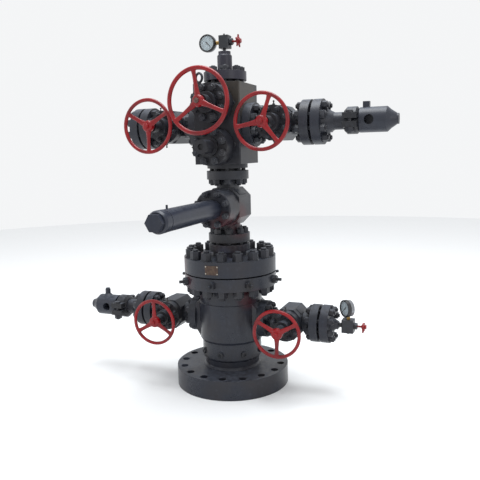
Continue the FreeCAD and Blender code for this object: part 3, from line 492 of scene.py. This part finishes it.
# ------------------------------------------------------------------ tree cap
# A flange with a welded tube neck and a turned reducer, which takes the top needle valve. Eight
# studs hold it to the top of the block, and it is painted with the rest.
cap_paint = slate_coat("slate_enamel_cap", (45, 44, 55), (42, 40, 43), 0.6)
dress(cap_paint, "tree_cap")
cap_base, cap_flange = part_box("tree_cap")[0].z, 0.062
bolting("studs_of_tree_cap", painted_bolts,
        [ring((0, 0, cap_base + cap_flange), "+z", bore_circle, 8)],
        across=0.040, nut_height=0.025, stud=0.0254, shown=0.005, buried=0.075)


# ------------------------------------------------------------------ needle valves and gauges
# Square bar-stock needle valves with hex glands and small red star wheels. Each carries a
# pressure gauge on a brass stem: a steel case with a printed dial under glass.
bar_paint = slate_coat("slate_enamel_needle_valves", (42, 45, 49), (46, 43, 48), 0.5, edge=0.0015)
dress(bar_paint, "top_needle_block", "outlet_needle_block")
dress(fitting_paint, "top_needle_gland", "outlet_needle_gland")
case_coat = Coat("gauge_case_steel", {"Metallic": 0.85})
case_fine = case_coat.noise(120, 4, (1, 1, 6))
case_colour = case_coat.mix(case_coat.step(case_fine, 0.4, 0.7), tone(120, 122, 126),
                            tone(158, 160, 165))
case_coat.finish(case_colour, 0.28 + case_fine * 0.2, case_fine, 0.0001)
dress(case_coat.material, "top_gauge", "outlet_gauge")
brass_coat = Coat("dull_brass", {"Metallic": 0.9})
brass_fine = brass_coat.noise(90, 4)
brass_coat.finish(brass_coat.mix(brass_fine, tone(150, 120, 66), tone(178, 146, 88)),
                  0.35 + brass_fine * 0.2, brass_fine, 0.0001)
dress(brass_coat.material, "top_gauge_stem", "outlet_gauge_stem")

bezel_coat = Coat("black_bezel_paint", {"Specular IOR Level": 0.5})
bezel_coat.finish(bezel_coat.mix(bezel_coat.noise(60), tone(22, 22, 24), tone(38, 38, 40)),
                  0.30 + bezel_coat.noise(90) * 0.2, bezel_coat.noise(160), 0.0001)
dial_coat = Coat("printed_dial", {"Specular IOR Level": 0.3})
dial_coat.finish(dial_coat.mix(dial_coat.noise(50), tone(150, 165, 172), tone(172, 184, 190)),
                 0.45 + dial_coat.noise(70) * 0.1, dial_coat.noise(200), 0.00005)
print_coat = Coat("dial_print_black", {})
print_coat.finish(print_coat.mix(print_coat.noise(80), tone(24, 26, 32), tone(34, 36, 42)),
                  0.5 + print_coat.noise(90) * 0.1, print_coat.noise(200), 0.00005)
ink_coat = Coat("dial_ink_grey", {})
ink_coat.finish(ink_coat.mix(ink_coat.noise(80), tone(96, 103, 110), tone(112, 119, 126)),
                0.5 + ink_coat.noise(90) * 0.1, ink_coat.noise(200), 0.00005)
glass_coat = Coat("gauge_glass", {"Alpha": 0.10, "Specular IOR Level": 0.6})
glass_coat.finish(glass_coat.mix(glass_coat.noise(40), tone(200, 210, 214), tone(220, 226, 230)),
                  0.04 + glass_coat.noise(60) * 0.03, glass_coat.noise(60), 0.00002)


def dial_parts(name, place, swing, tilt, needle_angle):
    """Bezel, dial, marks, needle and glass of one gauge.

    It is built facing +Z with 12 o'clock at +Y, tilted about its own centre, stood up to face
    forward and swung about the vertical. Angles are in degrees.
    """
    where = (Matrix.Translation(place) @ Matrix.Rotation(math.radians(swing), 4, "Z")
             @ TOWARDS["-y"] @ Matrix.Rotation(math.radians(tilt), 4, "Z"))
    bezel = lathe([(0.0405, 0.0010), (0.0405, 0.0062), (0.0440, 0.0082), (0.0478, 0.0072),
                   (0.0490, 0.0040), (0.0490, -0.0120), (0.0481, -0.0120), (0.0481, 0.0010),
                   (0.0405, 0.0010)], 64)
    part_from(gather([(bezel, [where])]), name + "_bezel", bezel_coat.material, "stack",
              50)
    face = lathe([(0, 0.0006), (0.0424, 0.0006), (0.0424, -0.0002), (0, -0.0002)], 64)
    part_from(gather([(face, [where])]), name + "_dial", dial_coat.material, "stack")
    marks = bmesh.new()
    divisions, numbered_every = 30, 5
    scale_start, scale_sweep = 225, 270
    mark_circle, number_circle, print_height = 0.0385, 0.0270, 0.0009
    for index in range(divisions + 1):
        length, width = (0.0035, 0.0004) if index % numbered_every else (0.0065, 0.0008)
        angle = math.radians(scale_start - scale_sweep * index / divisions)
        spot = (Matrix.Rotation(angle, 4, "Z")
                @ Matrix.Translation((mark_circle - length / 2, 0, print_height))
                @ Matrix.Diagonal((length, width, 0.0004, 1)))
        bmesh.ops.create_cube(marks, size=1, matrix=spot)
    for value in range(0, divisions + 1, numbered_every):
        lettering = bpy.data.curves.new("number", "FONT")
        lettering.body, lettering.size = str(value), 0.0068
        lettering.align_x, lettering.align_y, lettering.resolution_u = "CENTER", "CENTER", 2
        holder = bpy.data.objects.new("number", lettering)
        flat = bpy.data.meshes.new_from_object(holder)
        angle = math.radians(scale_start - scale_sweep * value / divisions)
        flat.transform(Matrix.Translation(
            (number_circle * math.cos(angle), number_circle * math.sin(angle), print_height)))
        marks.from_mesh(flat)
        bpy.data.objects.remove(holder)
    part_from(gather([(marks, [where])]), name + "_marks", ink_coat.material, "stack")
    pointer = bmesh.new()
    bmesh.ops.create_cone(pointer, cap_ends=True, segments=10, radius1=0.0042, radius2=0.0008,
                          depth=0.048, matrix=Matrix.Translation((0, 0, 0.012)))
    bmesh.ops.scale(pointer, verts=pointer.verts, vec=(1, 0.35, 1))
    pointer_place = (where @ Matrix.Translation((0, 0, 0.0026))
                     @ Matrix.Rotation(math.radians(needle_angle), 4, "Z")
                     @ Matrix.Rotation(-math.pi / 2, 4, "X"))
    boss = lathe([(0, 0), (0.0042, 0), (0.0038, 0.0034), (0, 0.0040)], 24)
    part_from(gather([(pointer, [pointer_place]), (boss, [where])]), name + "_needle",
              print_coat.material, "stack")
    glass = lathe([(0, 0.0050), (0.0408, 0.0050), (0.0408, 0.0058), (0, 0.0062)], 48)
    part_from(gather([(glass, [where])]), name + "_glass", glass_coat.material, "stack")


dial_parts("top_gauge", (-0.097, -0.020, 1.995), swing=0, tilt=90, needle_angle=135)
dial_parts("outlet_gauge", (0.6966, -0.0139, 0.502), swing=-45.972, tilt=0, needle_angle=132)


# ------------------------------------------------------------------ grease fittings and bleeders
# Small turned steel fittings screwed into the bonnets and bodies: a hex, a neck and a ball check
# under a cap. They keep some bare metal where a grease gun has rubbed them.
fitting_steel = slate_coat("rubbed_fitting_steel", (49, 48, 50), (72, 64, 55), 0.6, edge=0.0008)
nipple = gather([
    (hex_prism(0.014, 0.007, 0.001), [Matrix()]),
    (lathe([(0, -0.004), (0.0045, -0.004), (0.0045, 0.008), (0.0032, 0.010), (0.0032, 0.015),
            (0.0050, 0.017), (0.0052, 0.021), (0.0036, 0.024), (0, 0.0245)], 20), [Matrix()])])
wing_reach, outlet_reach, swab_reach, lower_reach = 0.0935, 0.0855, 0.1045, 0.1025
wing_y, outlet_y, cover_y = -0.120, -0.110, -0.200
off_centre, off_centre_reach = 0.030, 0.089
nipple_places = [
    Matrix.Translation((wing_x, wing_y, wing_axis + wing_reach)),
    Matrix.Translation((wing_x, wing_y, wing_axis - wing_reach)) @ TOWARDS["-z"],
    Matrix.Translation((-wing_x - off_centre, wing_y, wing_axis + off_centre_reach)),
    Matrix.Translation((-wing_x, wing_y, wing_axis - wing_reach)) @ TOWARDS["-z"],
    Matrix.Translation((outlet_x, outlet_y, outlet_axis + outlet_reach)),
    Matrix.Translation((-outlet_x, outlet_y, outlet_axis + outlet_reach)),
    Matrix.Translation((-swab_reach, cover_y, swab_axis)) @ TOWARDS["-x"],
    Matrix.Translation((-lower_reach, cover_y, lower_axis)) @ TOWARDS["-x"]]
part_from(gather([(nipple, nipple_places)]), "grease_fittings", fitting_steel, "stack")


# ------------------------------------------------------------------ cast pads and weld beads
# Raised pads were cast on the upper corners of the gate valve bodies, where size and pressure
# would be stamped. A hand-laid bead joins the spool's hub to its base flange.
pad_size = (0.056, 0.100, 0.007)
pad_spots = [((0.0815, -0.010, master_axis + 0.0835), 0.7)]
for side in (1, -1):
    pad_spots.append(((side * (outlet_x + 0.0605), 0, outlet_axis + 0.0685), 0.8))
    pad_spots.append(((side * (wing_x + 0.0615), 0, wing_axis + 0.0725), 0.8))
pads = [Matrix.Translation(spot)
        @ Matrix.Rotation(math.copysign(math.pi / 4, spot[0]), 4, "Y")
        @ Matrix.Diagonal((width, 1, 1, 1)) for spot, width in pad_spots]
pad = bmesh.new()
bmesh.ops.create_cube(pad, size=1, matrix=Matrix.Diagonal((*pad_size, 1)))
bmesh.ops.bevel(pad, geom=pad.edges[:], offset=0.0028, offset_type="OFFSET",
                segments=3, profile=0.5, affect="EDGES", material=-1)
part_from(gather([(pad, pads)]), "cast_pads", outlet_paint, "stack")
bead = lathe([(0.1615, 0.1125), (0.1745, 0.1125), (0.1735, 0.1155), (0.1695, 0.1180),
              (0.1655, 0.1205), (0.1635, 0.1255), (0.1615, 0.1255), (0.1615, 0.1125)], 160)
hub_radius, flange_top = 0.163, 0.113
ripple = random.Random(7)
for vert in bead.verts:
    if vert.co.xy.length > hub_radius and vert.co.z > flange_top:
        vert.co.z += ripple.uniform(-0.0008, 0.0008)
        vert.co.xy *= 1 + ripple.uniform(-0.004, 0.004)
part_from(bead, "hub_weld_bead", forged, "stack", 60)


# ------------------------------------------------------------------ handwheels
# Cast iron three-spoke wheels, dipped in glossy signal red that has chipped at the rim. Their tops
# are mixed to a lighter pink red: sun fade, and a painted highlight. Each turns with its own stem.
red_coat = Coat("red_enamel_wheels", {"Specular IOR Level": 0.4})
red_broad = red_coat.noise(9, 4)
red_fine = red_coat.noise(70, 5)
red_soft = red_coat.rounded(0.003)[0]
red_colour = red_coat.mix(red_coat.step(red_broad, 0.35, 0.7), tone(134, 1, 11),
                          tone(104, 2, 12))
red_up = red_coat.axis(red_coat.normal, 2)
# Upward faces lighten to pink red: sun fade, and a painted highlight.
red_colour = red_coat.mix(red_coat.step(red_up, 0.5, 1.0) * 0.2, red_colour, tone(150, 30, 38))
chips = red_coat.step(red_fine, 0.66, 0.70)
red_colour = red_coat.mix(chips * 0.7, red_colour, tone(52, 18, 20))
red_coat.finish(red_colour, 0.26 + red_broad * 0.14 + chips * 0.3, red_fine, 0.0006, red_soft)
dress(red_coat.material, "top_needle_handwheel", "outlet_needle_handwheel")

stem_coat = Coat("bare_stem_steel", {"Metallic": 0.8})
stem_fine = stem_coat.noise(80, 4)
stem_coat.finish(stem_coat.mix(stem_coat.step(stem_fine, 0.45, 0.65), tone(104, 84, 80),
                               tone(74, 50, 46)), 0.38 + stem_fine * 0.25, stem_fine, 0.0003)
hub_length = 0.038


def cast_wheel(name, rim_tube, rim_depth, hub_depth, turn):
    """A cast wheel in place of a plain one, and its stem with the nut that holds it.

    Depths are forward of the stack's axis, to the middle of the rim and the face of the hub.
    """
    valve = name.removesuffix("_handwheel")
    low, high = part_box(name)
    centre_x, _, centre_z = centre_of(name)
    reach = (high.x - low.x) / 2 - rim_tube / 2
    place = Matrix.Translation((centre_x, 0, centre_z)) @ TOWARDS["-y"]
    hoop = bmesh.new()
    bmesh.ops.create_circle(hoop, segments=14, radius=rim_tube / 2,
                            matrix=Matrix.Translation((reach, 0, 0))
                            @ Matrix.Rotation(math.pi / 2, 4, "X"))
    bmesh.ops.spin(hoop, geom=hoop.verts[:] + hoop.edges[:], cent=(0, 0, 0), axis=(0, 0, 1),
                   angle=math.tau, steps=72, use_merge=True)
    bmesh.ops.remove_doubles(hoop, verts=hoop.verts, dist=0.00001)
    spoke = lathe([(0, 0), (0.0190, 0.002), (0.0178, 0.16 * reach), (0.0132, 0.34 * reach),
                   (0.0108, 0.6 * reach), (0.0106, 0.78 * reach), (0.0128, 0.90 * reach),
                   (0.0175, 0.975 * reach), (0.0165, reach), (0, 1.004 * reach)], 16)
    bmesh.ops.scale(spoke, verts=spoke.verts, vec=(1, 0.62, 1))
    rise = hub_depth - hub_length / 2 - rim_depth
    lean = Matrix.Rotation(-math.atan2(rise, reach), 4, "X")
    stretch = math.hypot(rise, reach) / reach
    spokes = [place @ Matrix.Rotation(math.radians(-turn - 120 * index), 4, "Z")
              @ Matrix.Translation((0, 0, hub_depth - hub_length / 2))
              @ Matrix.Rotation(-math.pi / 2, 4, "X") @ lean @ Matrix.Diagonal((1, 1, stretch, 1))
              for index in range(3)]
    hub = lathe([(0, -hub_length), (0.0260, -hub_length), (0.0300, -0.0345), (0.0320, -0.026),
                 (0.0325, -0.018), (0.0310, -0.010), (0.0270, -0.004), (0.0215, -0.0012),
                 (0.0185, 0), (0, 0)], 36)
    seat = place @ Matrix.Translation((0, 0, hub_depth))
    wheel = part_from(gather([(hoop, [place @ Matrix.Translation((0, 0, rim_depth))]),
                              (spoke, spokes), (hub, [seat])]),
                      valve + "_cast_wheel", red_coat.material, name, 40)
    stem_end = hub_depth - 0.034
    stem = lathe([(0, -high.y), (0.0140, -high.y), (0.0150, 0.001 - high.y),
                  (0.0150, stem_end), (0, stem_end)], 24)
    part_from(gather([(stem, [place])]), valve + "_stem", stem_coat.material, name)
    nut_coat = stem_coat if name == "swab_handwheel" else red_coat
    part_from(gather([(hex_prism(0.026, 0.0095, 0.0015), [seat]),
                      (threaded_stud(0.014, 0.004, 0.0118, 0.002), [seat])]),
              valve + "_wheel_nut", nut_coat.material, name, 35)
    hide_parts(name)


cast_wheel("swab_handwheel", rim_tube=0.023, rim_depth=0.368, hub_depth=0.381, turn=-7)
for wheel_name, turn in (("left_wing_handwheel", 60), ("right_wing_handwheel", 20)):
    cast_wheel(wheel_name, rim_tube=0.020, rim_depth=0.324, hub_depth=0.337, turn=turn)
for wheel_name, turn in (("left_outlet_handwheel", 0), ("right_outlet_handwheel", 60)):
    cast_wheel(wheel_name, rim_tube=0.019, rim_depth=0.274, hub_depth=0.287, turn=turn)


# ------------------------------------------------------------------ floor, light and camera
# A pale studio floor, one large soft light overhead and two weaker ones at the sides. The camera
# stands a little to the right of the stack's front, at chest height.
floor = bmesh.new()
bmesh.ops.create_circle(floor, cap_ends=True, radius=9, segments=96)
ground = bpy.data.meshes.new("studio_floor")
floor.to_mesh(ground)
floor_piece = bpy.data.objects.new("studio_floor", ground)
bpy.context.scene.collection.objects.link(floor_piece)
floor_coat = Coat("studio_floor_matt", {"Specular IOR Level": 0.2})
floor_coat.finish(tone(238, 239, 240), 0.9, floor_coat.noise(3), 0.0005)
ground.materials.append(floor_coat.material)

world = bpy.data.worlds.new("studio")
bpy.context.scene.world = world
world.use_nodes = True
air = world.node_tree.nodes["Background"]
air.inputs["Color"].default_value = tone(250, 251, 252)
air.inputs["Strength"].default_value = 0.95
bpy.context.scene.view_settings.view_transform = "Standard"


def soft_light(name, place, aim, size, watts, colour):
    lamp = bpy.data.lights.new(name, "AREA")
    lamp.shape, lamp.size, lamp.energy = "DISK", size, watts
    lamp.color = colour
    holder = bpy.data.objects.new(name, lamp)
    heading = (Vector(aim) - Vector(place)).to_track_quat("-Z", "Y").to_matrix().to_4x4()
    holder.matrix_world = Matrix.Translation(place) @ heading
    bpy.context.scene.collection.objects.link(holder)


soft_light("overhead", place=(0.3, 0.2, 5.2), aim=(0, 0, 1), size=3.2, watts=230,
           colour=(0.95, 0.98, 1.0))
soft_light("right_side", place=(4.2, -2.6, 2.6), aim=(0, 0, 1.1), size=2.0, watts=22,
           colour=(1.0, 0.98, 0.95))
soft_light("left_side", place=(-4.4, -2.2, 2.2), aim=(0, 0, 1.0), size=2.2, watts=26,
           colour=(0.95, 0.97, 1.0))

lens = bpy.data.cameras.new("camera")
lens.lens, lens.sensor_width = 43.48, 36
camera = bpy.data.objects.new("camera", lens)
camera_place, camera_roll = (1.3503, -3.1340, 1.3792), 0.02444
ahead = Vector((-0.3746, 0.9150, -0.1500)).normalized()
level = Vector((0.92544, 0.37889, 0)).normalized()
upright = level.cross(ahead)
screen_right = math.cos(camera_roll) * level - math.sin(camera_roll) * upright
screen_up = math.sin(camera_roll) * level + math.cos(camera_roll) * upright
camera.matrix_world = Matrix.Translation(camera_place) @ Matrix(
    (screen_right, screen_up, -ahead)).transposed().to_4x4()
bpy.context.scene.collection.objects.link(camera)
bpy.context.scene.camera = camera
